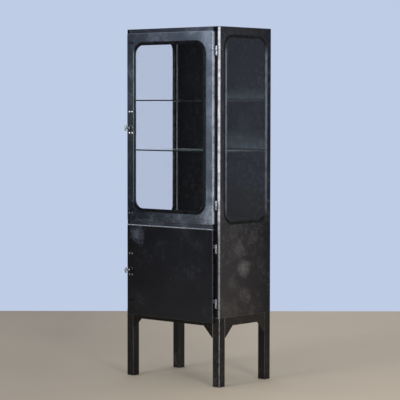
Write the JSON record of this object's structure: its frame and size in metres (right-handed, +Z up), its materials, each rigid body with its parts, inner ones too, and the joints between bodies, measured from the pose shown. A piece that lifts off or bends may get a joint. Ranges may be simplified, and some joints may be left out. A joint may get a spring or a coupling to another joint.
{
  "type": "medical cabinet",
  "caption": "Tall steel cabinet on square legs with rubber-glazed door and sides, glass shelves, a solid lower door and rod locks worked by small knobs.",
  "frame": {"origin": "on the floor, below the middle of the bounding box of the cabinet with its doors shut", "axes": "+Z up, +Y to the back, +X to the right as one faces the doors"},
  "size_m": [0.6274, 0.4482, 1.75],
  "materials": {
    "lacquered_steel": "blackened sheet steel under clear lacquer, worn bright at the edges",
    "bright_steel": "plain steel, satin",
    "chrome": "polished plating",
    "black_rubber": "matt with a soft sheen",
    "clear_glass": "clear sheet glass",
    "shelf_glass": "clear glass with a green edge"
  },
  "bodies": {
    "cabinet": {"leg_front_left": "lacquered_steel", "leg_front_right": "lacquered_steel", "leg_back_left": "lacquered_steel", "leg_back_right": "lacquered_steel", "foot_front_left": "black_rubber", "foot_front_right": "black_rubber", "foot_back_left": "black_rubber", "foot_back_right": "black_rubber", "apron_front": "lacquered_steel", "apron_back": "lacquered_steel", "apron_left": "lacquered_steel", "apron_right": "lacquered_steel", "left_side_lower": "lacquered_steel", "left_side_upper": "lacquered_steel", "right_side_lower": "lacquered_steel", "right_side_upper": "lacquered_steel", "back_panel": "lacquered_steel", "top_panel": "lacquered_steel", "bottom_panel": "lacquered_steel", "middle_deck": "lacquered_steel", "top_rail": "lacquered_steel", "middle_rail": "lacquered_steel", "shelf_strip_front_left": "bright_steel", "shelf_strip_front_right": "bright_steel", "shelf_strip_back_left": "bright_steel", "shelf_strip_back_right": "bright_steel", "lower_shelf": "shelf_glass", "upper_shelf": "shelf_glass", "left_window_gasket": "black_rubber", "left_window_glass": "clear_glass", "right_window_gasket": "black_rubber", "right_window_glass": "clear_glass", "upper_door_hinge_top_frame_half": "bright_steel", "upper_door_hinge_bottom_frame_half": "bright_steel", "lower_door_hinge_top_frame_half": "bright_steel", "lower_door_hinge_bottom_frame_half": "bright_steel"},
    "upper_door": {"upper_door_panel": "lacquered_steel", "upper_door_gasket": "black_rubber", "upper_door_glass": "clear_glass", "upper_door_hinge_top_door_half": "bright_steel", "upper_door_hinge_bottom_door_half": "bright_steel", "upper_door_lock_case": "bright_steel", "upper_door_rod_guide_upper": "bright_steel", "upper_door_rod_guide_lower": "bright_steel", "upper_door_rose": "chrome"},
    "upper_handle": {"upper_door_knob": "chrome", "upper_door_spindle": "bright_steel"},
    "upper_door_top_bolt": {"upper_door_rod_upper": "bright_steel"},
    "upper_door_bottom_bolt": {"upper_door_rod_lower": "bright_steel"},
    "lower_door": {"lower_door_panel": "lacquered_steel", "lower_door_hinge_top_door_half": "bright_steel", "lower_door_hinge_bottom_door_half": "bright_steel", "lower_door_lock_case": "bright_steel", "lower_door_rod_guide_upper": "bright_steel", "lower_door_rod_guide_lower": "bright_steel", "lower_door_rose": "chrome"},
    "lower_handle": {"lower_door_knob": "chrome", "lower_door_spindle": "bright_steel"},
    "lower_door_top_bolt": {"lower_door_rod_upper": "bright_steel"},
    "lower_door_bottom_bolt": {"lower_door_rod_lower": "bright_steel"}
  },
  "joints": [
    {"name": "upper_door_swing", "type": "hinge", "parent": "cabinet", "child": "upper_door", "pos_m": [0.296, -0.17345, 0.79], "axis": [0, 0, 1], "range_deg": [0, 170]},
    {"name": "lower_door_swing", "type": "hinge", "parent": "cabinet", "child": "lower_door", "pos_m": [0.296, -0.17345, 0.312], "axis": [0, 0, 1], "range_deg": [0, 170]},
    {"name": "upper_knob_turn", "type": "hinge", "parent": "upper_door", "child": "upper_handle", "pos_m": [-0.27, -0.17905, 1.255], "axis": [0, 1, 0], "range_deg": [0, 90]},
    {"name": "upper_door_top_bolt_slide", "type": "slide", "parent": "upper_door", "child": "upper_door_top_bolt", "axis": [0, 0, 1], "range_m": [0, 0.01257]},
    {"name": "upper_door_bottom_bolt_slide", "type": "slide", "parent": "upper_door", "child": "upper_door_bottom_bolt", "axis": [0, 0, -1], "range_m": [0, 0.01257]},
    {"name": "lower_knob_turn", "type": "hinge", "parent": "lower_door", "child": "lower_handle", "pos_m": [-0.27, -0.17905, 0.54], "axis": [0, 1, 0], "range_deg": [0, 90]},
    {"name": "lower_door_top_bolt_slide", "type": "slide", "parent": "lower_door", "child": "lower_door_top_bolt", "axis": [0, 0, 1], "range_m": [0, 0.01257]},
    {"name": "lower_door_bottom_bolt_slide", "type": "slide", "parent": "lower_door", "child": "lower_door_bottom_bolt", "axis": [0, 0, -1], "range_m": [0, 0.01257]}
  ],
  "couplings": [
    {"joint": "upper_knob_turn", "follows": "upper_door_top_bolt_slide", "rad_per_m": 125},
    {"joint": "upper_door_bottom_bolt_slide", "follows": "upper_door_top_bolt_slide", "ratio": 1},
    {"joint": "lower_knob_turn", "follows": "lower_door_top_bolt_slide", "rad_per_m": 125},
    {"joint": "lower_door_bottom_bolt_slide", "follows": "lower_door_top_bolt_slide", "ratio": 1}
  ]
}
